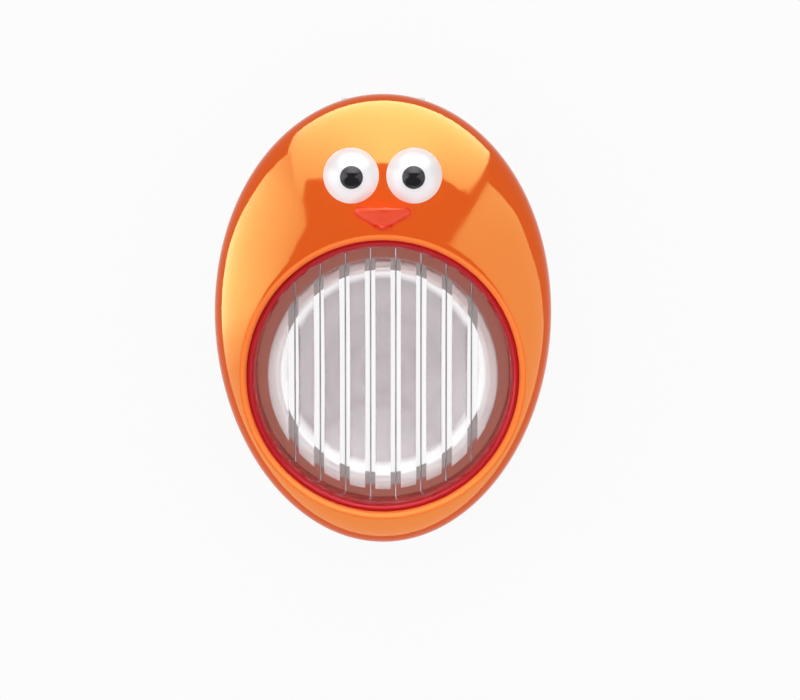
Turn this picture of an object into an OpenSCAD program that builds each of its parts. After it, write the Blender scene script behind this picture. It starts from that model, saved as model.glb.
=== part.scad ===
// Egg slicer: an egg-shaped hinged lid carries a ring of cutting wires that swings
// down through the slots of a dished cradle standing in a clear base.
// Millimetres, +Z up, +Y towards the hinge. The origin is on the table, under the middle.

/* [Outline] */
// Length of the lid, hinge end to front
lid_len = 132; // [128:1:150]
// Width of the lid at its widest
lid_wid = 99; // [98:1:115]
// How much fuller the hinge end is than the front end
egg_taper = 0.03; // [0:0.01:0.06]
// Wall thickness of the lid shell
lid_t = 2.2; // [1.6:0.1:2.4]
// Height of the straight side wall of the lid
lid_skirt = 4.2; // [3:0.1:8]
// Rise of the domed top above the side wall
crown_h = 14; // [12:0.5:20]

/* [Mouth] */
// Distance of the mouth's centre from the front end of the lid
mouth_front = 49.7; // [48:0.1:52]
// Width of the lid beside the mouth, where it is narrowest
rim_w = 5.4; // [5.2:0.1:8]
// Radius of the rolled edge of the mouth
edge_r = 1.5; // [0.8:0.1:2]
// Thickness of the lip that hangs inside the mouth
lip_t = 1.4; // [1:0.1:1.6]
// Depth of the lip below the rolled edge
lip_h = 2.6; // [1.5:0.1:3.2]

/* [Wire ring] */
// Wall of the wire ring where the wires pass through it
ring_t = 2.3; // [1.8:0.1:2.6]
// How far the ring's rolled upper edge reaches back from its inner face
ring_roll = 1.8; // [1:0.1:2]
// Height of that rolled edge
ring_roll_h = 3.6; // [2:0.1:6]
// Height of the wires above the ring's lower edge
wire_up = 1; // [0.8:0.1:1.4]
// Radius of the ring's rounded lower edge
ring_round = 0.3; // [0.1:0.05:0.4]
// Height of the ring that covers the wire ends
cover_h = 4.6; // [3.6:0.1:6]
// Thickness of the cover ring outside the wire ends
cover_skin = 0.5; // [0.4:0.1:0.7]

/* [Wires] */
// Number of cutting wires
wire_n = 8; // [4:1:8]
// Spacing of the wires, which is the thickness of a slice
wire_pitch = 7.5; // [6:0.1:8]
// Diameter of a wire
wire_d = 0.45; // [0.3:0.05:0.6]
// Diameter of the bead crimped on each wire end
crimp_d = 1.4; // [1.2:0.1:1.6]
// Length of the bead
crimp_len = 1.5; // [1.2:0.1:1.7]

/* [Cradle] */
// Height of the cradle from the underside of its flange
cradle_h = 17; // [15:0.5:19]
// Thickness of the cradle's bars and wall
cradle_t = 2.4; // [2:0.1:3]
// Radius of the rounded crest of the cradle
crest_r = 3.8; // [3.4:0.1:5.5]
// Radius of the hollow that holds the egg
dish_r = 48; // [44:1:70]
// Width of the slots that the wires drop into
slot_w = 3; // [2:0.1:3.4]
// Thickness of the flange that joins the bars below the slots
flange_t = 2.2; // [1.6:0.1:2.6]
// Width of the flange inside the cradle's outer face
flange_in = 3.5; // [3:0.1:6]

/* [Base] */
// Height of the base
base_h = 15; // [14:0.5:20]
// Wall thickness of the base
base_t = 2; // [1.6:0.1:2.4]
// Height of the band round the top of the base
band_h = 2.8; // [2:0.1:3.6]
// Depth of the step under that band
band_step = 0.6; // [0.3:0.1:1]
// How far the base draws in at the foot
foot_draw = 2.2; // [1.2:0.1:3]
// Depth of the cradle's seat below the top of the base
seat_depth = 6.2; // [5.8:0.1:7]
// Width of the ledge that the cradle sits on
ledge_w = 2; // [1.4:0.1:3]
// Thickness of that ledge
ledge_t = 1.8; // [1.4:0.1:2.4]
// Thickness of the wall round the seat and round the hinge notch
seat_wall_t = 1.6; // [1.2:0.1:2]
// Bevel round the foot
foot_bevel = 0.6; // [0.3:0.1:1]
// Bevel along the top edge
top_bevel = 0.3; // [0.1:0.1:0.6]

/* [Hinge] */
// Diameter of the hinge pin
pin_d = 2.5; // [2:0.1:3]
// Outer diameter of the knuckles
knuckle_d = 6.4; // [5.6:0.1:6.6]
// Width of the lid's middle knuckle
knuckle_w = 14; // [10:0.5:16]
// Width of each knuckle of the base
ear_w = 5; // [4:0.5:6]
// Distance of the hinge axis in from the end of the lid
hinge_in = 4.2; // [4:0.1:4.6]
// Depth of the hinge axis below the lid's lower edge
hinge_drop = 4; // [3.8:0.1:4.4]
// Thickness of the arm that joins the lid's knuckle to the lid
arm_t = 2.3; // [1.8:0.1:3]
// Height of that arm inside the lid
arm_h = 3.7; // [3:0.1:4]
// Room in front of the knuckles
notch_front = 0.8; // [0.6:0.1:1.2]
// Room beside the knuckles, where the pin goes in
notch_side = 2.7; // [2:0.1:4]
// Room under the knuckles, which the lid's edge swings through
notch_under = 3.1; // [2.9:0.1:3.6]

/* [Face] */
// Diameter of an eye where it meets the lid
eye_d = 16; // [12:0.2:16.4]
// Spacing of the eyes
eye_pitch = 17.8; // [17:0.2:20]
// Distance of the eyes from the beak's root, towards the hinge
eye_up = 8.6; // [8:0.2:10]
// How far an eye bulges out of the lid
eye_bulge = 4.6; // [3.5:0.1:6]
// Diameter of a pupil
pupil_d = 6.6; // [4:0.2:8]
// Thickness of a pupil
pupil_t = 0.5; // [0.3:0.1:0.8]
// Width of the beak
beak_w = 16.8; // [14:0.2:18]
// Length of the beak from root to tip
beak_len = 7; // [6:0.1:7.4]
// Height of the beak above the lid
beak_h = 4.2; // [3:0.1:5.5]
// Radius of the beak's rounded corners
beak_round = 1.6; // [1.2:0.1:2]
// Distance of the beak's tip from the mouth's rolled edge
beak_gap = 1; // [0.5:0.1:2]
// Diameter of the pegs that hold the eyes
eye_peg_d = 4; // [3:0.1:5]
// Diameter of the pegs that hold the beak
beak_peg_d = 2.4; // [2:0.1:3]
// Thickness of the heads formed on the pegs, and how far they reach over the hole
peg_head = 1; // [0.6:0.1:1.4]

/* [Clearances] */
// Gap between the closed lid and the base
lid_gap = 0.3; // [0.2:0.05:0.6]
// How far the base stays inside the lid's outline
base_inset = 0.3; // [0.2:0.1:0.6]
// Gap between pieces that are fixed to each other
seat_gap = 0.15; // [0.1:0.05:0.2]
// Gap under the face's pieces, and round the beads
face_gap = 0.1; // [0.05:0.05:0.2]
// Radial gap of a wire in the ring's holes
wire_gap = 0.12; // [0.08:0.02:0.2]
// Radial gap between a wire and its crimped bead
crimp_gap = 0.015; // [0.01:0.005:0.03]
// Gap round a bead in the cover ring's pocket
pocket_gap = 0.35; // [0.2:0.05:0.5]
// Radial gap of the pin in the base, where it is held tight
pin_fit = 0.02; // [0.01:0.01:0.04]
// Radial gap of the lid's knuckle on the pin, where it turns
turn_fit = 0.05; // [0.03:0.01:0.08]
// Gap between the wire ring and the cradle, of which the lid's swing needs 0.8
swing_gap = 3.5; // [0.8:0.1:4]
// Gap between the cover ring and the base, which the lid's swing needs
moat_gap = 0.6; // [0.55:0.05:0.8]
// Height of the wire ring above the cradle's flange
ring_lift = 0.45; // [0.3:0.05:0.8]
// Sideways gap between the knuckles
knuckle_gap = 0.3; // [0.2:0.05:0.5]

/* [Hidden] */

// Colours
clear_plastic = "gainsboro";
lid_orange = "darkorange";
ring_red = "firebrick";
beak_red = "orangered";
wire_steel = "silver";

// Outline and heights
half_w = lid_wid / 2;
half_l = lid_len / 2;
outline_n = 72;                        // points round the egg outline
crown_power = 3;                       // 2 is an ellipse, higher is squarer
lid_z = base_h + lid_gap;              // lower edge of the lid
shoulder_z = lid_z + lid_skirt;        // where the dome starts
mouth_c = [0, mouth_front - half_l];
narrow_r = min([for (i = [0:outline_n - 1]) norm(egg(360 * i / outline_n) - mouth_c)]);
mouth_r = narrow_r - rim_w;
edge_low_z = min([for (i = [0:outline_n - 1]) mouth_edge_z(360 * i / outline_n)]);
lip_z = edge_low_z - edge_r - lip_h;   // lower edge of the lip

// Cradle, wire ring and its cover, from the seat in the base upwards
seat_z = base_h - seat_depth;
flange_z = seat_z + seat_gap;
flange_top = flange_z + flange_t;
ring_z = flange_top + ring_lift;
ring_top = edge_low_z - edge_r - seat_gap;
ring_out_r = mouth_r - seat_gap;
ring_in_r = ring_out_r - ring_t;
shoulder_r = mouth_r + lip_t;
wire_z = ring_z + wire_up;
crimp_r = crimp_d / 2;
crimp_seat_r = ring_out_r + face_gap;
pocket_h = wire_up + crimp_r + pocket_gap;
cover_in_r = ring_out_r + seat_gap;
pocket_r = face_gap + max([for (i = [0:wire_n - 1])
    norm([abs(wire_x(i)) + crimp_r, crimp_y(wire_x(i)) + crimp_len])]);
cover_out_r = pocket_r + cover_skin;
moat_r = cover_out_r + moat_gap;       // hollow in the base that the cover ring enters
cradle_out_r = ring_in_r - swing_gap;
crest_z = flange_z + cradle_h - crest_r;

// Hinge
hinge_y = half_l - hinge_in;
hinge_z = lid_z - hinge_drop;
pin_r = pin_d / 2;
knuckle_r = knuckle_d / 2;
ear_x = knuckle_w / 2 + knuckle_gap;   // inner face of the base's knuckles
notch_x = ear_x + ear_w + notch_side;  // half width of the hinge notch
notch_y = hinge_y - knuckle_r - notch_front;
notch_z = hinge_z - knuckle_r - notch_under;

// Face
eye_r = eye_d / 2;
eye_ball_r = (eye_r * eye_r + eye_bulge * eye_bulge) / (2 * eye_bulge);
beak_tip_y = mouth_c.y + mouth_r + edge_r + beak_gap;
beak_root_y = beak_tip_y + beak_len;
beak_peg_x = beak_w / 5;
beak_peg_y = beak_root_y - beak_len / 3;
eye_y = beak_root_y + eye_up;

// Point of the egg outline at angle t, moved inwards by inset
function egg(t, inset = 0) =
    [(half_w - inset) * cos(t) * (1 + egg_taper * sin(t)), (half_l - inset) * sin(t)];

// 0 in the middle of the outline, 1 on it
function egg_rho(p, inset = 0) =
    let (s = p.y / (half_l - inset))
    norm([p.x / ((half_w - inset) * (1 + egg_taper * s)), s]);

// Height of the domed top over the point p, or of its underside when inset is the wall
function dome_z(p, inset = 0) =
    let (fall = max(0, 1 - pow(egg_rho(p, inset), crown_power)))
    shoulder_z + (crown_h - inset) * pow(fall, 1 / crown_power);

// Height of the dome where the rolled edge of the mouth starts, on the ray to egg(t)
function mouth_edge_z(t) =
    let (ray = egg(t) - mouth_c)
    dome_z(mouth_c + ray * (mouth_r + edge_r) / norm(ray));

// Points over the dome from the outline inwards to radius r_end round the mouth's centre
function dome_run(t, r_end, inset, steps) =
    let (ray = egg(t, inset) - mouth_c, w = norm(ray))
    [for (i = [0:steps])
        let (p = mouth_c + ray / w * (w - (w - r_end) * pow(i / steps, 2.3)))
        [p.x, p.y, i == 0 ? shoulder_z : dome_z(p, inset)]];

// One closed section of the lid: up the outside, over the dome, round the mouth's rolled
// edge, down the lip and back along the inside
function lid_section(t) =
    let (out = egg(t), in = egg(t, lid_t),
         u = (out - mouth_c) / norm(out - mouth_c),
         v = (in - mouth_c) / norm(in - mouth_c),
         edge_z = mouth_edge_z(t))
    concat(
        [[out.x, out.y, lid_z]],
        dome_run(t, mouth_r + edge_r, 0, 8),
        [for (a = [30, 60, 90])
            let (r = mouth_r + edge_r * (1 - sin(a)))
            [mouth_c.x + r * u.x, mouth_c.y + r * u.y, edge_z - edge_r * (1 - cos(a))]],
        [[mouth_c.x + mouth_r * u.x, mouth_c.y + mouth_r * u.y, lip_z]],
        [[mouth_c.x + shoulder_r * v.x, mouth_c.y + shoulder_r * v.y, lip_z]],
        [for (i = [6:-1:0]) dome_run(t, shoulder_r, lid_t, 6)[i]],
        [[in.x, in.y, lid_z]]);

// Triangles between neighbouring rows of m points; the last row joins the first
function wrap_faces(rows, m) =
    [for (j = [0:rows - 1], i = [0:m - 1])
        let (j1 = (j + 1) % rows, i1 = (i + 1) % m)
        each [[j * m + i, j * m + i1, j1 * m + i1], [j * m + i, j1 * m + i1, j1 * m + i]]];

// Solid through egg outlines, each given as [height, inset]
module egg_loft(levels) {
    n = outline_n;
    k = len(levels);
    points = [for (lv = levels, i = [0:n - 1])
        let (p = egg(360 * i / n, lv[1])) [p.x, p.y, lv[0]]];
    sides = [for (j = [0:k - 2], i = [0:n - 1])
        let (i1 = (i + 1) % n)
        each [[j * n + i, j * n + n + i, j * n + n + i1], [j * n + i, j * n + n + i1, j * n + i1]]];
    polyhedron(points, concat(sides,
        [[for (i = [0:n - 1]) i]],
        [[for (i = [n - 1:-1:0]) (k - 1) * n + i]]));
}

// Block over a small patch of the lid, from the lid's surface plus a gap downwards. What
// stands on the lid is cut with it, so that it follows the dome.
module under_lid(cx, cy, w, l) {
    nx = 8;
    ny = 8;
    m = nx + 1;
    grid = [for (j = [0:ny], i = [0:nx]) [cx + w * (i / nx - 0.5), cy + l * (j / ny - 0.5)]];
    top = [for (p = grid) [p.x, p.y, dome_z(p) + face_gap]];
    bottom = [for (p = grid) [p.x, p.y, shoulder_z]];
    b = len(grid);
    skin = [for (j = [0:ny - 1], i = [0:nx - 1])
        let (q = j * m + i)
        each [[q, q + m, q + m + 1], [q, q + m + 1, q + 1]]];
    floor_faces = [for (f = skin) [for (v = [2:-1:0]) f[v] + b]];
    edge = concat([for (i = [0:nx - 1]) i], [for (j = [0:ny - 1]) nx + j * m],
        [for (i = [nx:-1:1]) ny * m + i], [for (j = [ny:-1:1]) j * m]);
    walls = [for (e = [0:len(edge) - 1])
        let (s = edge[e], t = edge[(e + 1) % len(edge)])
        each [[s, t, t + b], [s, t + b, s + b]]];
    polyhedron(concat(top, bottom), concat(skin, floor_faces, walls));
}

// Everything round the mouth is placed from the mouth's centre
module at_mouth() {
    translate([mouth_c.x, mouth_c.y, 0]) children();
}

function wire_x(i) = (i - (wire_n - 1) / 2) * wire_pitch;

// Distance of a crimp's inner face from the mouth's centre, along the wire
function crimp_y(x) = sqrt(crimp_seat_r * crimp_seat_r - pow(max(0, abs(x) - crimp_r), 2));

// Outline arc as points: centre, radius and two angles
function arc(c, r, a0, a1, steps) =
    [for (i = [0:steps]) let (a = a0 + (a1 - a0) * i / steps) c + r * [cos(a), sin(a)]];

// --- Base -----------------------------------------------------------------------------

module hinge_ears() {
    for (side = [-1, 1])
        translate([side * (ear_x + ear_w / 2), 0, 0]) {
            translate([0, hinge_y, hinge_z])
                rotate([0, 90, 0]) cylinder(h = ear_w, r = knuckle_r, center = true, $fn = 48);
            translate([-ear_w / 2, notch_y - notch_front, hinge_z - knuckle_r])
                cube([ear_w, hinge_y - notch_y + notch_front, 2 * knuckle_r]);
        }
}

module base_shell() {
    band_z = base_h - band_h;
    under_band = base_inset + band_step;
    foot = [[0, foot_draw + foot_bevel], [foot_bevel, foot_draw]];
    band = [[band_z - band_step, under_band], [band_z, base_inset],
        [base_h - top_bevel, base_inset], [base_h, base_inset + top_bevel]];
    difference() {
        egg_loft(concat(foot, band));
        difference() {
            egg_loft([[-base_t, foot_draw + base_t], [base_h - base_t, under_band + base_t]]);
            at_mouth() translate([0, 0, seat_z - ledge_t])
                cylinder(h = base_h, r = moat_r + seat_wall_t, $fn = 96);
            translate([-notch_x, notch_y, notch_z] - seat_wall_t * [1, 1, 1])
                cube([2 * (notch_x + seat_wall_t), half_l, base_h]);
        }
        at_mouth() translate([0, 0, seat_z]) cylinder(h = base_h, r = moat_r, $fn = 96);
        at_mouth() translate([0, 0, -1]) cylinder(h = base_h, r = moat_r - ledge_w, $fn = 96);
        translate([-notch_x, notch_y, notch_z]) cube([2 * notch_x, half_l, base_h]);
    }
}

module base() {
    color(clear_plastic) {
        difference() {
            union() {
                base_shell();
                hinge_ears();
            }
            translate([0, hinge_y, hinge_z]) rotate([0, 90, 0])
                cylinder(h = half_w, r = pin_r + pin_fit, center = true, $fn = 48);
        }
    }
}

// --- Cradle ---------------------------------------------------------------------------

// Half section of the cradle: flange, wall, rounded crest and dished floor
module cradle_profile() {
    crest_c = [cradle_out_r - crest_r, crest_z];
    lean = asin(crest_c.x / (dish_r + crest_r));
    dish_c = [0, crest_c.y + (dish_r + crest_r) * cos(lean)];
    wall_in_r = cradle_out_r - cradle_t;
    polygon(concat(
        [[cradle_out_r - flange_in, flange_z], [moat_r - seat_gap, flange_z],
         [moat_r - seat_gap, flange_top], [cradle_out_r, flange_top]],
        arc(crest_c, crest_r, 0, 90 + lean, 12),
        [for (i = [1:8]) arc(dish_c, dish_r, 270 + lean, 270, 8)[i]],
        arc(dish_c, dish_r + cradle_t, 270, 270 + lean, 8),
        [for (i = [1:8]) arc(crest_c, crest_r - cradle_t, 90 + lean, 0, 8)[i]],
        [[wall_in_r, flange_top], [cradle_out_r - flange_in, flange_top]]));
}

module cradle() {
    color(clear_plastic) at_mouth() difference() {
        rotate_extrude($fn = 96) cradle_profile();
        for (i = [0:wire_n - 1])
            translate([wire_x(i) - slot_w / 2, -cradle_out_r - 1, flange_top])
                cube([slot_w, 2 * cradle_out_r + 2, cradle_h]);
    }
}

module hinge_pin() {
    color(wire_steel) translate([0, hinge_y, hinge_z]) rotate([0, 90, 0])
        cylinder(h = 2 * (ear_x + ear_w), r = pin_r, center = true, $fn = 48);
}

// --- Lid ------------------------------------------------------------------------------

module peg_hole(x, y, d) {
    translate([x, y, shoulder_z]) cylinder(h = 2 * crown_h, r = d / 2 + seat_gap, $fn = 32);
}

// Barrel under the lid's edge, and the arm that runs up inside the lid's end wall
module lid_knuckle() {
    arm_y = hinge_y - arm_t;
    wall_y = half_l - lid_t / 2;           // the middle of the wall that the arm joins
    translate([-knuckle_w / 2, 0, 0]) rotate([90, 0, 90])
        linear_extrude(height = knuckle_w) union() {
            translate([hinge_y, hinge_z]) circle(r = knuckle_r, $fn = 48);
            polygon([[arm_y, hinge_z], [arm_y, lid_z + arm_h], [wall_y - lid_t / 4, lid_z + arm_h],
                [wall_y, lid_z], [hinge_y + knuckle_r, hinge_z]]);
        }
}

module lid_shell() {
    sections = [for (j = [0:outline_n - 1]) lid_section(360 * j / outline_n)];
    color(lid_orange) difference() {
        union() {
            polyhedron([for (s = sections) each s], wrap_faces(outline_n, len(sections[0])));
            lid_knuckle();
        }
        translate([0, hinge_y, hinge_z]) rotate([0, 90, 0])
            cylinder(h = knuckle_w + 2, r = pin_r + turn_fit, center = true, $fn = 48);
        for (side = [-1, 1]) {
            peg_hole(side * eye_pitch / 2, eye_y, eye_peg_d);
            peg_hole(side * beak_peg_x, beak_peg_y, beak_peg_d);
        }
    }
}

module mouth_ring() {
    cover_top = ring_z + cover_h + seat_gap;
    color(ring_red) at_mouth() difference() {
        rotate_extrude($fn = 96) polygon(concat(
            arc([ring_in_r, ring_z] + ring_round * [1, 1], ring_round, 180, 270, 3),
            [[ring_out_r, ring_z], [ring_out_r, cover_top],
             [shoulder_r, cover_top], [shoulder_r, lip_z - seat_gap],
             [ring_out_r, lip_z - seat_gap], [ring_out_r, ring_top]],
            [for (a = [90:15:180])
                [ring_in_r + ring_roll * (1 + cos(a)), ring_top - ring_roll_h * (1 - sin(a))]]));
        for (i = [0:wire_n - 1])
            translate([wire_x(i), 0, wire_z]) rotate([90, 0, 0])
                cylinder(h = 3 * mouth_r, r = wire_d / 2 + wire_gap, center = true, $fn = 24);
    }
}

module wire_cover_ring() {
    pocket_w = crimp_d + 2 * pocket_gap;
    color(ring_red) at_mouth() difference() {
        translate([0, 0, ring_z]) difference() {
            cylinder(h = cover_h, r = cover_out_r, $fn = 96);
            translate([0, 0, -1]) cylinder(h = cover_h + 2, r = cover_in_r, $fn = 96);
        }
        intersection() {
            translate([0, 0, ring_z - 1])
                cylinder(h = pocket_h + 1, r = pocket_r, $fn = 96);
            for (i = [0:wire_n - 1])
                translate([wire_x(i) - pocket_w / 2, -1.5 * mouth_r, ring_z - 2])
                    cube([pocket_w, 3 * mouth_r, pocket_h + 4]);
        }
    }
}

// --- Wires ----------------------------------------------------------------------------

module wire(i) {
    x = wire_x(i - 1);
    if (i <= wire_n)
        color(wire_steel) at_mouth() translate([x, 0, wire_z]) rotate([90, 0, 0])
            cylinder(h = 2 * (crimp_y(x) + crimp_len), r = wire_d / 2, center = true, $fn = 24);
}

// side is 1 at the hinge end, -1 at the front
module wire_crimps(side) {
    color(wire_steel) at_mouth() for (i = [0:wire_n - 1])
        translate([wire_x(i), side * (crimp_y(wire_x(i)) + crimp_len / 2), wire_z])
            rotate([90, 0, 0]) difference() {
                cylinder(h = crimp_len, r = crimp_r, center = true, $fn = 24);
                cylinder(h = crimp_len + 1, r = wire_d / 2 + crimp_gap, center = true, $fn = 24);
            }
}

// --- Face -----------------------------------------------------------------------------

// Peg through the lid with its end formed into a head under the shell. The head clears the
// underside of the dome, which slopes down across it.
module staked_peg(x, y, d) {
    head_r = d / 2 + peg_head;
    head_z = min([for (a = [0:45:315]) dome_z([x, y] + head_r * [cos(a), sin(a)], lid_t)])
        - face_gap - peg_head;
    translate([x, y, head_z]) cylinder(h = peg_head, r = head_r, $fn = 32);
    translate([x, y, head_z]) cylinder(h = dome_z([x, y]) + peg_head - head_z, r = d / 2, $fn = 32);
}

module eye(side) {
    x = side * eye_pitch / 2;
    color("white") union() {
        difference() {
            translate([x, eye_y, dome_z([x, eye_y]) + eye_bulge - eye_ball_r])
                sphere(r = eye_ball_r, $fn = 64);
            under_lid(x, eye_y, 2.3 * eye_ball_r, 2.3 * eye_ball_r);
            translate([x - eye_ball_r, eye_y - eye_ball_r, 0])
                cube([2 * eye_ball_r, 2 * eye_ball_r, shoulder_z + crown_h / 4]);
        }
        staked_peg(x, eye_y, eye_peg_d);
    }
}

module pupil(side) {
    x = side * eye_pitch / 2;
    color("black") translate([x, eye_y, dome_z([x, eye_y]) + eye_bulge - eye_ball_r])
        difference() {
            intersection() {
                sphere(r = eye_ball_r + face_gap / 2 + pupil_t, $fn = 64);
                cylinder(h = 2 * eye_ball_r, r = pupil_d / 2, $fn = 48);
            }
            sphere(r = eye_ball_r + face_gap / 2, $fn = 64);
        }
}

// Three-cornered beak: low corners at the root, a high ridge and a lower tip
module beak() {
    z = dome_z([0, beak_root_y]);
    root_y = beak_root_y - beak_round;
    color(beak_red) union() {
        difference() {
            hull() {
                for (side = [-1, 1])
                    translate([side * (beak_w / 2 - beak_round), root_y, z])
                        sphere(r = beak_round, $fn = 24);
                translate([0, root_y, z + beak_h - beak_round]) sphere(r = beak_round, $fn = 24);
                translate([0, beak_tip_y + beak_round, z + beak_h / 2 - beak_round])
                    sphere(r = beak_round, $fn = 24);
            }
            under_lid(0, (beak_root_y + beak_tip_y) / 2, 1.3 * beak_w, 1.6 * beak_len);
        }
        for (side = [-1, 1])
            staked_peg(side * beak_peg_x, beak_peg_y, beak_peg_d);
    }
}

base();
cradle();
hinge_pin();
lid_shell();
mouth_ring();
wire_cover_ring();
wire(1);  // wire_1
wire(2);  // wire_2
wire(3);  // wire_3
wire(4);  // wire_4
wire(5);  // wire_5
wire(6);  // wire_6
wire(7);  // wire_7
wire(8);  // wire_8
wire_crimps(1);  // wire_crimps_hinge_end
wire_crimps(-1);  // wire_crimps_front_end
eye(-1);  // eye_left
eye(1);  // eye_right
pupil(-1);  // pupil_left
pupil(1);  // pupil_right
beak();
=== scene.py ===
# Egg slicer, made in the order in which it is put together: the clear base and cradle, the
# orange lid, the red ring with its wires, and the face. Metres, +Z up, +Y to the hinge.
import math

import bmesh
import bpy
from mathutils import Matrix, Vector


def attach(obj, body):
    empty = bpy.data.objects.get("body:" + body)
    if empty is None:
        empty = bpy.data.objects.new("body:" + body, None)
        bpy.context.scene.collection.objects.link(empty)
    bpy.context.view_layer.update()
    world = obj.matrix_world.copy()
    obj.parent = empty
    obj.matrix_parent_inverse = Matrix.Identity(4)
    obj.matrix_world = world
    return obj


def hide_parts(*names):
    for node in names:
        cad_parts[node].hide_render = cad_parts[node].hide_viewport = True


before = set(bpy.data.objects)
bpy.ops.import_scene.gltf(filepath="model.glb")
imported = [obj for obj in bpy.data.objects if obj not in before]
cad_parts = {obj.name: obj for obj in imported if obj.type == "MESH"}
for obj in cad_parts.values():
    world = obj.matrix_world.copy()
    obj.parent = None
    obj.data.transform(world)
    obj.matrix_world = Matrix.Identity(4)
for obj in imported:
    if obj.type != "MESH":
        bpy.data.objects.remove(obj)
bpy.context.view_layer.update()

mm = 0.001

# --- Base -----------------------------------------------------------------------------
# The base is one clear styrene moulding: an egg-shaped tray that is open below, with a
# band round its top, a round seat for the cradle and two knuckles for the hinge pin. It
# stands on its lower edge.
HALF_WIDTH, HALF_LENGTH, FULLNESS = 49.5 * mm, 66 * mm, 0.03
BASE_TOP = 15 * mm
BAND_FOOT, BAND_TOP = 11.6 * mm, 12.2 * mm
MOUTH_Y = -16.3 * mm
SEAT_Z, SEAT_RADIUS = 8.8 * mm, 43.106 * mm
HINGE_Y, HINGE_Z, PIN_RADIUS, KNUCKLE_RADIUS = 61.8 * mm, 11.3 * mm, 1.25 * mm, 3.2 * mm
EAR_INNER, EAR_OUTER = 7.3 * mm, 12.3 * mm
NOTCH_X, NOTCH_Y, NOTCH_Z = 15 * mm, 57.8 * mm, 5 * mm
BASE_WALL, LEDGE, LEDGE_WIDTH, EAR_ROOT = 1.6 * mm, 1.8 * mm, 2 * mm, 0.8 * mm
DECK_Z, DECK_ROUND, HOLLOW_FOOT, HOLLOW_TOP = 12.4 * mm, 0.6 * mm, 4.2 * mm, 2.93 * mm
FOOT_ROUND, FOOT_INSET, BRIM_ROUND = 0.6 * mm, 2.8 * mm, 0.3 * mm
PRESS_GAP = 0.02 * mm
BELOW, ABOVE, BEHIND = -5 * mm, 30 * mm, 100 * mm
ROUND = 288


def egg_width(along, inset=0.0):
    """Half width of the egg at a place along it, from -1 to 1. Its widest is HALF_WIDTH."""
    return (HALF_WIDTH - inset) * (1 + FULLNESS * along) / (1 + FULLNESS ** 2 / 2)


def egg_point(turn, inset=0.0):
    """Point of the egg outline at an angle, moved inwards by inset."""
    along = math.sin(turn)
    return (egg_width(along, inset) * math.cos(turn), (HALF_LENGTH - inset) * along)


def turns(count=ROUND):
    """Angles of this many even steps round a circle."""
    return [math.tau * i / count for i in range(count)]


def egg_rings(levels):
    """Rings of the egg outline, each given as (height, inset)."""
    return [[(*egg_point(t, inset), z) for t in turns()] for z, inset in levels]


def lathe_rings(profile, centre=(0.0, MOUTH_Y), count=ROUND):
    """Rings of a turned shape, whose profile is given as (radius, height)."""
    return [[(centre[0] + r * math.cos(t), centre[1] + r * math.sin(t), z) for t in turns(count)]
            for r, z in profile]


def new_piece(name, mesh):
    """Puts a finished mesh into the scene as a piece of this name."""
    data = bpy.data.meshes.new(name)
    mesh.to_mesh(data)
    mesh.free()
    piece = bpy.data.objects.new(name, data)
    bpy.context.scene.collection.objects.link(piece)
    return piece


def skin(name, rings, loop=False):
    """Closed mesh over rings of as many points each. With loop, the last joins the first."""
    mesh = bmesh.new()
    rows = [[mesh.verts.new(point) for point in ring] for ring in rings]
    count = len(rows[0])
    for near, far in zip(rows, rows[1:] + rows[:1] if loop else rows[1:]):
        for i in range(count):
            j = (i + 1) % count
            mesh.faces.new((near[i], near[j], far[j], far[i]))
    if not loop:
        for row in (rows[0], rows[-1]):
            if (row[0].co - row[count // 2].co).length > 1e-7:
                mesh.faces.new(row)
    bmesh.ops.remove_doubles(mesh, verts=mesh.verts, dist=1e-7)
    bmesh.ops.recalc_face_normals(mesh, faces=mesh.faces)
    return new_piece(name, mesh)


def block(low, high):
    """Box between two opposite corners, as a tool."""
    mesh = bmesh.new()
    bmesh.ops.create_cube(mesh, size=1)
    for vert in mesh.verts:
        vert.co = Vector([l + (h - l) * (c + 0.5) for l, h, c in zip(low, high, vert.co)])
    return new_piece("block", mesh)


def rod(radius, half_length, y, z, x=0.0):
    """Cylinder along X, as a tool or as the start of a knuckle."""
    rings = [[(x + side * half_length, y + radius * math.cos(t), z + radius * math.sin(t))
              for t in turns(96)] for side in (-1, 1)]
    return skin("rod", rings)


def settle(piece):
    """Turns a piece's modifiers into plain mesh."""
    bpy.context.view_layer.update()
    graph = bpy.context.evaluated_depsgraph_get()
    mesh = bpy.data.meshes.new_from_object(piece.evaluated_get(graph))
    piece.modifiers.clear()
    piece.data = mesh
    return piece


def carve(piece, tool, operation="DIFFERENCE"):
    """Cuts a tool out of a piece, or joins it on with UNION. The tool is used up."""
    cut = piece.modifiers.new("cut", "BOOLEAN")
    cut.operation, cut.object, cut.solver = operation, tool, "EXACT"
    settle(piece)
    bpy.data.objects.remove(tool)


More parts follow.
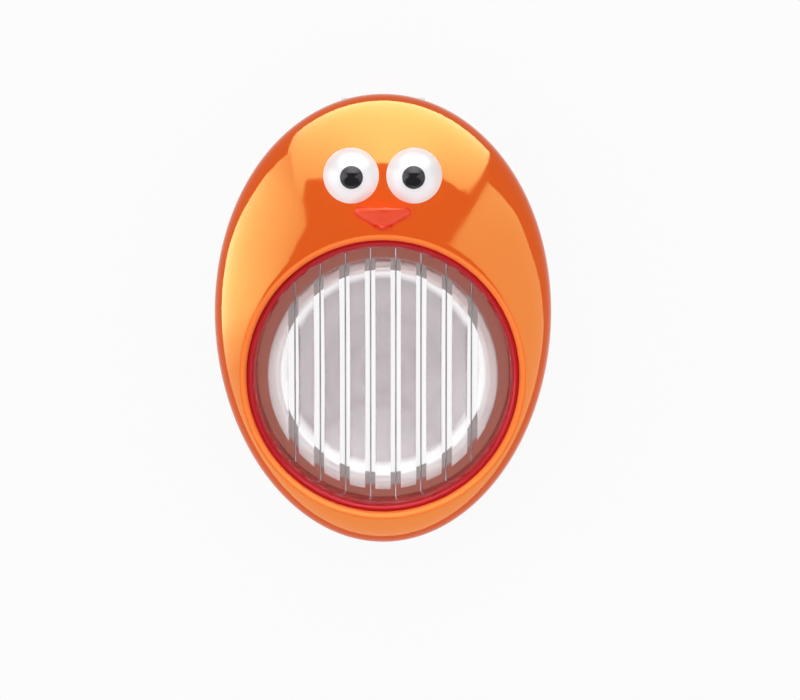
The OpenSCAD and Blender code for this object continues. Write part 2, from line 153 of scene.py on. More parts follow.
class Flow:
    """A socket of a node tree. Sums with it become Math nodes, and add() makes any other node."""

    def __init__(self, tree, socket=None):
        self.tree, self.socket = tree, socket

    def add(self, kind, settings=None, inputs=None, output=0):
        """Makes a node with these settings and inputs, and gives back one of its outputs."""
        node = self.tree.nodes.new(kind)
        for name, value in (settings or {}).items():
            setattr(node, name, value)
        for key, value in (inputs or {}).items():
            if isinstance(value, Flow):
                self.tree.links.new(value.socket, node.inputs[key])
            else:
                node.inputs[key].default_value = value
        return Flow(self.tree, node.outputs[output] if len(node.outputs) else None)

    def maths(self, operation, first, second):
        return self.add("ShaderNodeMath", {"operation": operation}, {0: first, 1: second})

    def __add__(self, other):
        return self.maths("ADD", self, other)

    def __radd__(self, other):
        return self.maths("ADD", other, self)

    def __sub__(self, other):
        return self.maths("SUBTRACT", self, other)

    def __rsub__(self, other):
        return self.maths("SUBTRACT", other, self)

    def __mul__(self, other):
        return self.maths("MULTIPLY", self, other)

    def __rmul__(self, other):
        return self.maths("MULTIPLY", other, self)

    def __truediv__(self, other):
        return self.maths("DIVIDE", self, other)

    def __pow__(self, other):
        return self.maths("POWER", self, other)


def new_finish(name):
    """An empty material, and the tree to write its nodes with."""
    material = bpy.data.materials.new(name)
    material.use_nodes = True
    material.node_tree.nodes.clear()
    return material, Flow(material.node_tree)


def grain(flow, size, detail=2.0):
    """Soft noise from 0 to 1 with features of about that size in metres."""
    place = flow.add("ShaderNodeTexCoord", output="Object")
    return flow.add("ShaderNodeTexNoise", {}, {"Vector": place, "Scale": 1 / size, "Detail": detail,
                                               "Roughness": 0.5})


def close_finish(flow, settings):
    """Ends a material in one Principled shader with these socket values."""
    shader = flow.add("ShaderNodeBsdfPrincipled", {}, settings)
    flow.add("ShaderNodeOutputMaterial", {}, {"Surface": shader})


def clear_plastic(name, colour, haze, sheen=1.0, clearness=1.0, paint=None):
    """Clear styrene: glass-like, a little grey, with the faint waves that a mould leaves."""
    material, flow = new_finish(name)
    waves = grain(flow, 9 * mm, 3.0)
    skin_bump = flow.add("ShaderNodeBump", {}, {"Strength": 0.25, "Distance": 0.12 * mm,
                                                "Height": waves})
    shade = paint(flow, colour) if paint else (*colour, 1)
    close_finish(flow, {"Base Color": shade, "Roughness": haze + grain(flow, 3 * mm) * 0.03,
                        "IOR": 1.5, "Transmission Weight": clearness, "Normal": skin_bump,
                        "Specular Tint": (sheen, sheen, sheen, 1)})
    return material


def fit(piece, body, slot, material, *nodes, crease=32):
    """Gives a finished piece smooth faces, a material, a body and the nodes it stands for."""
    piece.data.materials.clear()
    piece.data.materials.append(material)
    piece.data.shade_smooth()
    piece.data.set_sharp_from_angle(angle=math.radians(crease))
    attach(piece, body)
    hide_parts(*nodes)


def drum(name, radius, low):
    """Round tool on the cradle's axis, from this height up past the top of the base."""
    return skin(name, lathe_rings([(radius, low), (radius, ABOVE)]))


foot = [(FOOT_ROUND * (1 - math.cos(a)), FOOT_INSET - FOOT_ROUND * math.sin(a))
        for a in [math.radians(15 * i) for i in range(7)]]
brim = [(BASE_TOP - BRIM_ROUND * (1 - math.sin(a)), BRIM_ROUND * (2 - math.cos(a)))
        for a in [math.radians(18 * i) for i in range(6)]]
band = [(BAND_FOOT, 3 * BRIM_ROUND), (BAND_TOP, BRIM_ROUND)]
base = skin("clear_base", egg_rings(foot + band + brim))
hollow = skin("hollow", egg_rings([(-2 * mm, HOLLOW_FOOT), (DECK_Z, HOLLOW_TOP),
                                   (DECK_Z + 0.75 * DECK_ROUND, HOLLOW_TOP + 0.2 * DECK_ROUND),
                                   (DECK_Z + DECK_ROUND, HOLLOW_TOP + 0.95 * DECK_ROUND)]))
carve(hollow, drum("seat_wall", SEAT_RADIUS + BASE_WALL, SEAT_Z - LEDGE))
carve(hollow, block((-NOTCH_X - BASE_WALL, NOTCH_Y - BASE_WALL, NOTCH_Z - BASE_WALL),
                    (NOTCH_X + BASE_WALL, BEHIND, ABOVE)))
carve(base, hollow)
carve(base, drum("seat", SEAT_RADIUS, SEAT_Z))
carve(base, drum("window", SEAT_RADIUS - LEDGE_WIDTH, BELOW))
carve(base, block((-NOTCH_X, NOTCH_Y, NOTCH_Z), (NOTCH_X, BEHIND, ABOVE)))
for side in (-1, 1):
    ear_low, ear_high = sorted((side * EAR_INNER, side * EAR_OUTER))
    ear_middle = (ear_low + ear_high) / 2
    ear = rod(KNUCKLE_RADIUS, (EAR_OUTER - EAR_INNER) / 2, HINGE_Y, HINGE_Z, x=ear_middle)
    carve(ear, block((ear_low, NOTCH_Y - EAR_ROOT, HINGE_Z - KNUCKLE_RADIUS),
                     (ear_high, HINGE_Y, HINGE_Z + KNUCKLE_RADIUS)), "UNION")
    carve(base, ear, "UNION")
carve(base, rod(PIN_RADIUS + PRESS_GAP, HALF_WIDTH / 2, HINGE_Y, HINGE_Z))
base_plastic = clear_plastic("clear_base_plastic", (0.93, 0.93, 0.94), 0.02)
fit(base, "base", "clear_plastic", base_plastic, "base")

# --- Cradle ---------------------------------------------------------------------------
# The cradle that holds the egg is a second clear moulding, dished on top and cut through
# by eight slots for the wires. Its flange lies on the seat in the base, where it is fixed.
CRADLE_RADIUS, CREST_RADIUS, DISH_RADIUS, BAR = 33.957 * mm, 3.8 * mm, 48 * mm, 2.4 * mm
FLANGE_Z, FLANGE_TOP, FLANGE_INNER = 8.95 * mm, 11.15 * mm, 30.457 * mm
CREST = (CRADLE_RADIUS - CREST_RADIUS, 22.15 * mm)
FIXED_GAP = 0.15 * mm
FLANGE_EDGE, FLANGE_FILLET = SEAT_RADIUS - FIXED_GAP, 0.4 * mm
WIRES, WIRE_PITCH, SLOT, CUT_HEIGHT = 8, 7.5 * mm, 3 * mm, 40 * mm


def corner(centre, radius, start, stop, steps=5):
    """Points of a rounded corner, with its angles in degrees."""
    angles = [math.radians(start + (stop - start) * i / steps) for i in range(steps + 1)]
    return [(centre[0] + radius * math.cos(a), centre[1] + radius * math.sin(a)) for a in angles]


class Tree(Flow):
    """A Geometry Nodes tree with named inputs, run on one mesh and then taken off again."""

    def __init__(self, name, sizes):
        super().__init__(bpy.data.node_groups.new(name, "GeometryNodeTree"))
        self.sizes = sizes
        kinds = {int: "NodeSocketInt", float: "NodeSocketFloat"}
        face = self.tree.interface
        face.new_socket("Geometry", in_out="INPUT", socket_type="NodeSocketGeometry")
        for label, value in sizes.items():
            face.new_socket(label, in_out="INPUT", socket_type=kinds[type(value)])
        face.new_socket("Geometry", in_out="OUTPUT", socket_type="NodeSocketGeometry")
        self.entry = self.tree.nodes.new("NodeGroupInput")

    def given(self, label):
        """One of the tree's inputs."""
        return Flow(self.tree, self.entry.outputs[label])

    def close(self, shape, material):
        """Ends the tree in this shape, made of this material."""
        real = self.add("GeometryNodeRealizeInstances", {}, {"Geometry": shape})
        done = self.add("GeometryNodeSetMaterial", {}, {"Geometry": real, "Material": material})
        self.add("NodeGroupOutput", {}, {"Geometry": done})

    def grow(self, piece):
        """Runs the tree on a piece and keeps the result as plain mesh."""
        grower = piece.modifiers.new("grower", "NODES")
        grower.node_group = self.tree
        for item in self.tree.interface.items_tree:
            if item.in_out == "INPUT" and item.name in self.sizes:
                grower[item.identifier] = self.sizes[item.name]
        return settle(piece)


lean = math.asin(CREST[0] / (DISH_RADIUS + CREST_RADIUS))
dish_z = CREST[1] + (DISH_RADIUS + CREST_RADIUS) * math.cos(lean)
lean_deg = math.degrees(lean)
near, far = FLANGE_INNER + FLANGE_FILLET, FLANGE_EDGE - FLANGE_FILLET
low, high = FLANGE_Z + FLANGE_FILLET, FLANGE_TOP - FLANGE_FILLET
profile = (
    corner((near, low), FLANGE_FILLET, 180, 270)
    + corner((far, low), FLANGE_FILLET, 270, 360)
    + corner((far, high), FLANGE_FILLET, 0, 90)
    + [(CRADLE_RADIUS, FLANGE_TOP)]
    + corner(CREST, CREST_RADIUS, 0, 90 + lean_deg, 30)
    + corner((0, dish_z), DISH_RADIUS, 270 + lean_deg, 270, 24)[1:]
    + corner((0, dish_z), DISH_RADIUS + BAR, 270, 270 + lean_deg, 24)
    + corner(CREST, CREST_RADIUS - BAR, 90 + lean_deg, 0, 12)[1:]
    + [(CRADLE_RADIUS - BAR, FLANGE_TOP)]
    + corner((near, high), FLANGE_FILLET, 90, 180))
top_pole = max(i for i, (r, z) in enumerate(profile)
               if r < 1e-9 and z > dish_z - DISH_RADIUS - 1e-6)
profile = profile[top_pole + 1:] + profile[:top_pole + 1]
cradle = skin("clear_cradle", lathe_rings(profile))
slots = Tree("slots_of_the_cradle", {"Count": WIRES, "Pitch": WIRE_PITCH, "Width": SLOT,
                                     "Floor": FLANGE_TOP, "Reach": 2.2 * CRADLE_RADIUS,
                                     "Strips": 150})
row_start = (slots.given("Count") - 1) * slots.given("Pitch") * -0.5
row = slots.add("GeometryNodeMeshLine", {}, {
    "Count": slots.given("Count"),
    "Start Location": slots.add("ShaderNodeCombineXYZ", {}, {
        "X": row_start, "Y": MOUTH_Y, "Z": slots.given("Floor") + CUT_HEIGHT / 2}),
    "Offset": slots.add("ShaderNodeCombineXYZ", {}, {"X": slots.given("Pitch")})})
cutter = slots.add("GeometryNodeMeshCube", {}, {
    "Size": slots.add("ShaderNodeCombineXYZ", {}, {
        "X": slots.given("Width"), "Y": slots.given("Reach"), "Z": CUT_HEIGHT}),
    "Vertices Y": slots.given("Strips")})
cutters = slots.add("GeometryNodeRealizeInstances", {}, {"Geometry": slots.add(
    "GeometryNodeInstanceOnPoints", {}, {"Points": row, "Instance": cutter})})
slotted = slots.add("GeometryNodeMeshBoolean", {"operation": "DIFFERENCE", "solver": "EXACT"},
                    {"Mesh 1": slots.given("Geometry"), "Mesh 2": cutters})


def tinted(flow, mask, colour, spread):
    """A colour that drifts a little lighter and darker with the mask."""
    dark = [c * (1 - spread) for c in colour]
    light = [min(1.0, c * (1 + spread)) for c in colour]
    return flow.add("ShaderNodeMix", {"data_type": "RGBA"},
                    {0: mask, 6: (*dark, 1), 7: (*light, 1)}, output=2)


def from_axis(flow, y):
    """Distance from an upright axis at x = 0 and this y."""
    place = flow.add("ShaderNodeTexCoord", output="Object")
    moved = flow.add("ShaderNodeVectorMath", {"operation": "SUBTRACT"}, {0: place, 1: (0, y, 0)})
    level = flow.add("ShaderNodeVectorMath", {"operation": "MULTIPLY"}, {0: moved, 1: (1, 1, 0)})
    return flow.add("ShaderNodeVectorMath", {"operation": "LENGTH"}, {0: level}, output="Value")


def soft_step(flow, value, low, high):
    """0 up to low and 1 from high, with a smooth change between them."""
    return flow.add("ShaderNodeMapRange", {"interpolation_type": "SMOOTHSTEP"}, {
        "Value": value, "From Min": low, "From Max": high})


# Radius from which the cradle's crest is painted near-white as painted light.
PAINTED_CREST_LIGHT = 27.8 * mm


def bar_paint(flow, colour):
    """Grey dish with faint rings lighter and darker by radius, a crest painted near-white as
    painted light, and a flange in painted shade: dark grey under the bars, red-brown with the red
    ring's painted reflection outside them."""
    radius = from_axis(flow, MOUTH_Y)
    height = flow.add("ShaderNodeSeparateXYZ", {}, {
        "Vector": flow.add("ShaderNodeTexCoord", output="Object")}, output="Z")
    # Painted light: the crest turns near-white from this radius, measured from a point 1.5 mm towards
    # the hinge, so the front side turns white sooner than the hinge side.
    crest = soft_step(flow, from_axis(flow, MOUTH_Y + 1.5 * mm), PAINTED_CREST_LIGHT - 1 * mm, PAINTED_CREST_LIGHT + 1 * mm)
    rings = flow.add("ShaderNodeTexNoise", {"noise_dimensions": "1D"}, {
        "W": radius / (5 * mm), "Scale": 1.0, "Detail": 3.0})
    dish = flow.add("ShaderNodeMix", {"data_type": "RGBA"}, {
        0: crest, 6: tinted(flow, rings, colour, 0.22), 7: (0.98, 0.97, 0.98, 1)}, output=2)
    # Painted shade: the flange is dark grey under the bars and red-brown outside them, which also
    # paints the red ring's reflection in the clear plastic.
    flange = flow.add("ShaderNodeMix", {"data_type": "RGBA"}, {
        0: soft_step(flow, radius, CRADLE_RADIUS - 0.2 * mm, CRADLE_RADIUS + 0.5 * mm),
        6: (0.55, 0.49, 0.48, 1), 7: (0.55, 0.20, 0.155, 1)}, output=2)
    return flow.add("ShaderNodeMix", {"data_type": "RGBA"}, {
        0: soft_step(flow, height, FLANGE_TOP + 0.1 * mm, FLANGE_TOP + 1.5 * mm),
        6: flange, 7: dish}, output=2)


cradle_plastic = clear_plastic("clear_cradle_plastic", (0.58, 0.53, 0.55), 0.09, sheen=0.2,
                               clearness=0.7, paint=bar_paint)
slots.close(slotted, cradle_plastic)
slots.grow(cradle)
fit(cradle, "base", "clear_plastic", cradle_plastic, "cradle")

# --- Lid ------------------------------------------------------------------------------
# The lid is one glossy orange moulding: an egg-shaped dome with a straight skirt, a round
# mouth with a rolled edge and a hanging lip, and a knuckle that turns on the hinge pin.
LID_Z, SHOULDER_Z, CROWN, WALL = 15.3 * mm, 19.5 * mm, 14 * mm, 2.2 * mm
PAST_CROWN = 50 * mm
MOUTH_RADIUS, ROLL, LIP, LIP_Z = 39.907 * mm, 1.5 * mm, 1.4 * mm, 23.676 * mm
KNUCKLE_HALF, ARM, ARM_HEIGHT, TURN_GAP = 7 * mm, 2.3 * mm, 3.7 * mm, 0.05 * mm
EYE_X, EYE_Y, EYE_PEG = 8.9 * mm, 41.707 * mm, 2 * mm
BEAK_PEG, BEAK_PEG_X, BEAK_PEG_Y = 1.2 * mm, 3.36 * mm, 30.773 * mm


def dome_height(x, y, inset=0.0):
    """Height of the domed top over a point, or of its underside when inset is the wall."""
    along = y / (HALF_LENGTH - inset)
    reach = math.hypot(x / egg_width(along, inset), along)
    return SHOULDER_Z + (CROWN - inset) * max(0.0, 1 - reach ** 3) ** (1 / 3)


def lid_section(turn):
    """One closed section of the lid, from its lower edge over the dome to the lip and back."""
    def ray_from_mouth(inset):
        x, y = egg_point(turn, inset)
        length = math.hypot(x, y - MOUTH_Y)
        return length, x / length, (y - MOUTH_Y) / length

    def at(ray, radius, z=None, inset=0.0):
        x, y = radius * ray[1], MOUTH_Y + radius * ray[2]
        return (x, y, dome_height(x, y, inset) if z is None else z)

    def dome_run(ray, end, inset, steps):
        points = [at(ray, ray[0] - (ray[0] - end) * (i / steps) ** 2.3, None, inset)
                  for i in range(1, steps + 1)]
        return [at(ray, ray[0], SHOULDER_Z)] + points

    outer, inner = ray_from_mouth(0.0), ray_from_mouth(WALL)
    edge, step = MOUTH_RADIUS + ROLL, 0.3 * mm
    slope = math.atan((at(outer, edge - step)[2] - at(outer, edge + step)[2]) / (2 * step))
    roll_z = at(outer, edge)[2] - ROLL / math.cos(slope)
    roll_angles = [-slope + (math.pi / 2 + slope) * i / 10 for i in range(1, 11)]
    rounding = 0.3 * mm
    skirt = [at(outer, outer[0] - rounding * (1 - math.sin(a)),
                LID_Z + rounding * (1 - math.cos(a))) for a in [math.pi / 8 * i for i in range(5)]]
    return (skirt
            + dome_run(outer, edge + ROLL * math.sin(slope), 0.0, 34)
            + [at(outer, edge - ROLL * math.sin(a), roll_z + ROLL * math.cos(a))
               for a in roll_angles]
            + [at(outer, MOUTH_RADIUS, LIP_Z + rounding),
               at(outer, MOUTH_RADIUS + rounding / 3, LIP_Z + rounding / 3),
               at(outer, MOUTH_RADIUS + rounding, LIP_Z)]
            + [at(inner, MOUTH_RADIUS + LIP, LIP_Z)]
            + dome_run(inner, MOUTH_RADIUS + LIP, WALL, 16)[::-1]
            + [at(inner, inner[0], LID_Z)])


def dropped(profile, x, y):
    """A turned tool or peg that stands upright at one place on the lid."""
    return skin("peg", lathe_rings(profile, (x, y), 64))


sections = [lid_section(t) for t in turns(360)]
lid = skin("orange_lid", sections, loop=True)
arm = bmesh.new()
arm_outline = [(HINGE_Y - ARM, HINGE_Z), (HINGE_Y - ARM, LID_Z + ARM_HEIGHT),
               (HALF_LENGTH - 0.75 * WALL, LID_Z + ARM_HEIGHT), (HALF_LENGTH - 0.5 * WALL, LID_Z),
               (HINGE_Y + KNUCKLE_RADIUS, HINGE_Z)]
arm_verts = [[arm.verts.new((x, y, z)) for y, z in arm_outline]
             for x in (-KNUCKLE_HALF, KNUCKLE_HALF)]
for i in range(len(arm_outline)):
    j = (i + 1) % len(arm_outline)
    arm.faces.new((arm_verts[0][i], arm_verts[0][j], arm_verts[1][j], arm_verts[1][i]))
arm.faces.new(arm_verts[0])
arm.faces.new(arm_verts[1])
bmesh.ops.recalc_face_normals(arm, faces=arm.faces)
knuckle = new_piece("knuckle", arm)
carve(knuckle, rod(KNUCKLE_RADIUS, KNUCKLE_HALF, HINGE_Y, HINGE_Z), "UNION")
carve(lid, knuckle, "UNION")
carve(lid, rod(PIN_RADIUS + TURN_GAP, KNUCKLE_HALF + 1 * mm, HINGE_Y, HINGE_Z))
for side in (-1, 1):
    for x, y, radius in ((EYE_X, EYE_Y, EYE_PEG), (BEAK_PEG_X, BEAK_PEG_Y, BEAK_PEG)):
        hole = radius + FIXED_GAP
        carve(lid, dropped([(hole, SHOULDER_Z), (hole, PAST_CROWN)], side * x, y))


def glossy_plastic(name, colour, gloss, drift=0.03, warm=(1.0, 1.0, 1.0), dull=None):
    """Coloured, polished moulding: even colour with a faint drift and a fine orange peel.
    It is less polished where the dull mask is 1."""
    material, flow = new_finish(name)
    peel = flow.add("ShaderNodeBump", {}, {"Strength": 0.12, "Distance": 0.02 * mm,
                                           "Height": grain(flow, 1.6 * mm, 1.0)})
    worn = (dull(flow) * 0.6 if dull else 0.0) + grain(flow, 5 * mm, 4.0) * 0.05
    close_finish(flow, {"Base Color": tinted(flow, grain(flow, 26 * mm, 3.0), colour, drift),
                        "Roughness": worn + gloss, "IOR": 1.5, "Specular Tint": (*warm, 1),
                        "Normal": peel})
    return material


def mouth_roll(flow):
    """1 on the rolled edge of the mouth and 0 beyond it."""
    return 1 - soft_step(flow, from_axis(flow, MOUTH_Y), MOUTH_RADIUS + 0.8 * ROLL,
                         MOUTH_RADIUS + 1.3 * ROLL)


lid_plastic = glossy_plastic("glossy_orange_plastic", (0.82, 0.078, 0.004), 0.03,
                             warm=(0.97, 0.97, 0.28), dull=mouth_roll)
fit(lid, "lid", "orange_plastic", lid_plastic, "lid_shell")

# --- Hinge pin ------------------------------------------------------------------------
# A ground steel pin with chamfered ends, pressed into the base's two knuckles. The lid's
# knuckle turns on it.
pin_end, chamfer = EAR_OUTER, 0.25 * mm
pin_rings = [[(x, HINGE_Y + r * math.cos(t), HINGE_Z + r * math.sin(t)) for t in turns(64)]
             for x, r in ((-pin_end, PIN_RADIUS - chamfer), (-pin_end + chamfer, PIN_RADIUS),
                          (pin_end - chamfer, PIN_RADIUS), (pin_end, PIN_RADIUS - chamfer))]
pin = skin("steel_hinge_pin", pin_rings)


def drawn_steel(name, colour, gloss):
    """Bright steel with fine lengthwise marks and small darker patches from handling."""
    material, flow = new_finish(name)
    marks = grain(flow, 0.4 * mm, 3.0)
    close_finish(flow, {"Base Color": tinted(flow, grain(flow, 4 * mm, 3.0), colour, 0.12),
                        "Metallic": 1.0, "Roughness": gloss + marks * 0.12,
                        "Normal": flow.add("ShaderNodeBump", {}, {
                            "Strength": 0.2, "Distance": 0.01 * mm, "Height": marks})})
    return material


steel = drawn_steel("drawn_steel", (0.56, 0.56, 0.57), 0.18)
fit(pin, "base", "steel", steel, "hinge_pin")

# --- Mouth ring -----------------------------------------------------------------------
# A deep red ring is snapped under the lid's lip. Its upper edge is rolled back like a lip,
# and the wires pass through small holes near its lower edge.
RING_Z, RING_TOP, RING_INNER, RING_OUTER = 11.6 * mm, 26.126 * mm, 37.457 * mm, 39.757 * mm
RING_ROLL, RING_ROLL_HEIGHT, RING_ROUND = 1.8 * mm, 3.6 * mm, 0.3 * mm
WIRE_Z, WIRE_RADIUS = 12.6 * mm, 0.225 * mm
COVER_HEIGHT = 4.6 * mm
shelf, snap_z = RING_Z + COVER_HEIGHT + FIXED_GAP, LIP_Z - FIXED_GAP
ring_profile = (
    corner((RING_INNER + RING_ROUND, RING_Z + RING_ROUND), RING_ROUND, 180, 270)
    + corner((RING_OUTER - RING_ROUND, RING_Z + RING_ROUND), RING_ROUND, 270, 360)
    + [(RING_OUTER, shelf)]
    + corner((MOUTH_RADIUS + LIP - RING_ROUND, shelf + RING_ROUND), RING_ROUND, 270, 360)
    + corner((MOUTH_RADIUS + LIP - RING_ROUND, snap_z - RING_ROUND), RING_ROUND, 0, 90)
    + [(RING_OUTER, snap_z)]
    + corner((RING_OUTER - RING_ROUND / 2, RING_TOP - RING_ROUND / 2), RING_ROUND / 2, 0, 90)
    + [(RING_INNER + RING_ROLL * (1 - math.sin(a)),
        RING_TOP - RING_ROLL_HEIGHT * (1 - math.cos(a)))
       for a in [math.pi / 32 * i for i in range(17)]])
ring = skin("red_mouth_ring", lathe_rings(ring_profile), loop=True)


def wire_line(tree, height):
    """Points on the middles of the wires, one for each wire."""
    first = (tree.given("Count") - 1) * tree.given("Pitch") * -0.5
    return tree.add("GeometryNodeMeshLine", {}, {
        "Count": tree.given("Count"),
        "Start Location": tree.add("ShaderNodeCombineXYZ", {}, {
            "X": first, "Y": MOUTH_Y, "Z": height}),
        "Offset": tree.add("ShaderNodeCombineXYZ", {}, {"X": tree.given("Pitch")})})


def wire_rods(tree, length, sides):
    """A rod along Y on each point of the wire line."""
    rods = tree.add("GeometryNodeMeshCylinder", {}, {
        "Vertices": sides, "Radius": tree.given("Radius"), "Depth": 1.0})
    return tree.add("GeometryNodeRealizeInstances", {}, {"Geometry": tree.add(
        "GeometryNodeInstanceOnPoints", {}, {
            "Points": wire_line(tree, WIRE_Z), "Instance": rods,
            "Rotation": (math.pi / 2, 0.0, 0.0),
            "Scale": tree.add("ShaderNodeCombineXYZ", {}, {"X": 1.0, "Y": 1.0, "Z": length})})})


ring_plastic = glossy_plastic("deep_red_plastic", (0.46, 0.009, 0.014), 0.22,
                              warm=(0.3, 0.08, 0.10))
holes = Tree("wire_holes_of_the_ring", {"Count": WIRES, "Pitch": WIRE_PITCH,
                                        "Radius": WIRE_RADIUS + 0.12 * mm})
drilled = holes.add("GeometryNodeMeshBoolean", {"operation": "DIFFERENCE", "solver": "EXACT"}, {
    "Mesh 1": holes.given("Geometry"), "Mesh 2": wire_rods(holes, 3 * MOUTH_RADIUS, 20)})
holes.close(drilled, ring_plastic)
holes.grow(ring)
fit(ring, "lid", "red_plastic", ring_plastic, "mouth_ring")

# --- Wires ----------------------------------------------------------------------------
# Eight straight cutting wires of hard stainless steel are drawn tight across the ring.
# Each ends in its bead outside the ring, so the outer wires are shorter.
BEAD_RADIUS, BEAD_LENGTH, BEAD_SEAT = 0.7 * mm, 1.5 * mm, 39.857 * mm


def empty_piece(name):
    """A piece without a mesh, for a tree that makes all of it."""
    return new_piece(name, bmesh.new())


def bead_face(tree):
    """Distance of a bead's inner face from the middle of its wire."""
    place = tree.add("GeometryNodeInputPosition")
    across = tree.add("ShaderNodeSeparateXYZ", {}, {"Vector": place}, output="X")
    aside = tree.add("ShaderNodeMath", {"operation": "ABSOLUTE"}, {0: across})
    free = tree.maths("MAXIMUM", aside - BEAD_RADIUS, 0.0)
    return (BEAD_SEAT ** 2 - free * free) ** 0.5


wire_tree = Tree("cutting_wires", {"Count": WIRES, "Pitch": WIRE_PITCH, "Radius": WIRE_RADIUS})
hard_wire = drawn_steel("hard_steel_wire", (0.36, 0.35, 0.39), 0.32)
wire_tree.close(wire_rods(wire_tree, (bead_face(wire_tree) + BEAD_LENGTH) * 2, 16), hard_wire)
wires = wire_tree.grow(empty_piece("cutting_wires"))
fit(wires, "lid", "steel", hard_wire, *[f"wire_{n}" for n in range(1, WIRES + 1)])

# --- Crimped beads --------------------------------------------------------------------
# A small steel bead is crimped on both ends of each wire, and holds it against the ring's
# outer face.


def beads(name, side, node):
    """The beads at one end of the wires: tubes with rounded edges, set against the ring."""
    tree = Tree(name, {"Count": WIRES, "Pitch": WIRE_PITCH, "Bore": WIRE_RADIUS + 0.015 * mm,
                       "Radius": BEAD_RADIUS, "Length": BEAD_LENGTH})
    wall = tree.given("Radius") - tree.given("Bore")
    loop = tree.add("GeometryNodeCurvePrimitiveCircle", {"mode": "RADIUS"}, {
        "Resolution": 24, "Radius": (tree.given("Radius") + tree.given("Bore")) * 0.5})
    section = tree.add("GeometryNodeFilletCurve", {"mode": "POLY"}, {
        "Curve": tree.add("GeometryNodeCurvePrimitiveQuadrilateral", {}, {
            "Width": wall, "Height": tree.given("Length")}),
        "Count": 3, "Radius": 0.15 * mm})
    bead = tree.add("GeometryNodeCurveToMesh", {}, {"Curve": loop, "Profile Curve": section})
    line = wire_line(tree, WIRE_Z)
    shift = tree.add("ShaderNodeCombineXYZ", {}, {
        "Y": (bead_face(tree) + tree.given("Length") * 0.5) * side})
    placed = tree.add("GeometryNodeSetPosition", {}, {"Geometry": line, "Offset": shift})
    tree.close(tree.add("GeometryNodeInstanceOnPoints", {}, {
        "Points": placed, "Instance": bead, "Rotation": (math.pi / 2, 0.0, 0.0)}), steel)
    fit(tree.grow(empty_piece(name)), "lid", "steel", steel, node, crease=40)


beads("beads_at_the_hinge_end", 1, "wire_crimps_hinge_end")
beads("beads_at_the_front_end", -1, "wire_crimps_front_end")

# --- Cover ring -----------------------------------------------------------------------
# A plain red ring is pushed over the wire ring from below. It hides the beads, which lie
# in pockets that are open at its lower edge.
COVER_INNER, COVER_OUTER, COVER_ROUND = 39.907 * mm, 42.506 * mm, 0.2 * mm
POCKET_RADIUS, POCKET_WIDTH, POCKET_HEIGHT = 42.006 * mm, 2.1 * mm, 2.05 * mm
near, far = COVER_INNER + COVER_ROUND, COVER_OUTER - COVER_ROUND
low, high = RING_Z + COVER_ROUND, RING_Z + COVER_HEIGHT - COVER_ROUND
cover = skin("red_cover_ring", lathe_rings(
    corner((near, low), COVER_ROUND, 180, 270, 3) + corner((far, low), COVER_ROUND, 270, 360, 3)
    + corner((far, high), COVER_ROUND, 0, 90, 3)
    + corner((near, high), COVER_ROUND, 90, 180, 3)), loop=True)
pockets = Tree("bead_pockets", {"Count": WIRES, "Pitch": WIRE_PITCH, "Width": POCKET_WIDTH,
                                "Reach": 3 * MOUTH_RADIUS})
pocket_box = pockets.add("GeometryNodeMeshCube", {}, {
    "Size": pockets.add("ShaderNodeCombineXYZ", {}, {
        "X": pockets.given("Width"), "Y": pockets.given("Reach"), "Z": 2 * POCKET_HEIGHT})})
pocket_bars = pockets.add("GeometryNodeRealizeInstances", {}, {
    "Geometry": pockets.add("GeometryNodeInstanceOnPoints", {}, {
        "Points": wire_line(pockets, RING_Z), "Instance": pocket_box})})
pocket_disc = pockets.add("GeometryNodeTransform", {}, {
    "Geometry": pockets.add("GeometryNodeMeshCylinder", {}, {
        "Vertices": ROUND, "Radius": POCKET_RADIUS, "Depth": 8 * mm}),
    "Translation": (0.0, MOUTH_Y, RING_Z)})
pocket_tool = pockets.add("GeometryNodeMeshBoolean", {
    "operation": "INTERSECT", "solver": "EXACT"}, {"Mesh 2": pocket_bars})
# The node's second socket takes several meshes, so the disc is linked to it beside the bars.
pockets.tree.links.new(pocket_disc.socket, pocket_tool.socket.node.inputs["Mesh 2"])
pocketed = pockets.add("GeometryNodeMeshBoolean", {
    "operation": "DIFFERENCE", "solver": "EXACT"}, {
        "Mesh 1": pockets.given("Geometry"), "Mesh 2": pocket_tool})
pockets.close(pocketed, ring_plastic)
pockets.grow(cover)
fit(cover, "lid", "red_plastic", ring_plastic, "wire_cover_ring")

# --- Eyes -----------------------------------------------------------------------------
# Each eye is a white, polished button that follows the dome. Its peg goes through the lid
# and is melted into a head underneath.
EYE_BALL, EYE_BULGE, FACE_GAP = 9.2565 * mm, 4.6 * mm, 0.1 * mm
HEAD, HEAD_ROUND = 1 * mm, 0.4 * mm


def staked_peg(x, y, radius, rise):
    """Profile of a peg that goes down through the lid and ends in a melted head."""
    reach, top = radius + HEAD, dome_height(x, y) + rise
    head_z = min(dome_height(x + reach * math.cos(t), y + reach * math.sin(t), WALL)
                 for t in turns(8)) - FACE_GAP - HEAD
    edge = reach - HEAD_ROUND
    return ([(0, top), (radius, top), (radius, head_z + HEAD)]
            + corner((edge, head_z + HEAD - HEAD_ROUND), HEAD_ROUND, 90, 0)
            + corner((edge, head_z + HEAD_ROUND), HEAD_ROUND, 0, -90) + [(0, head_z)])


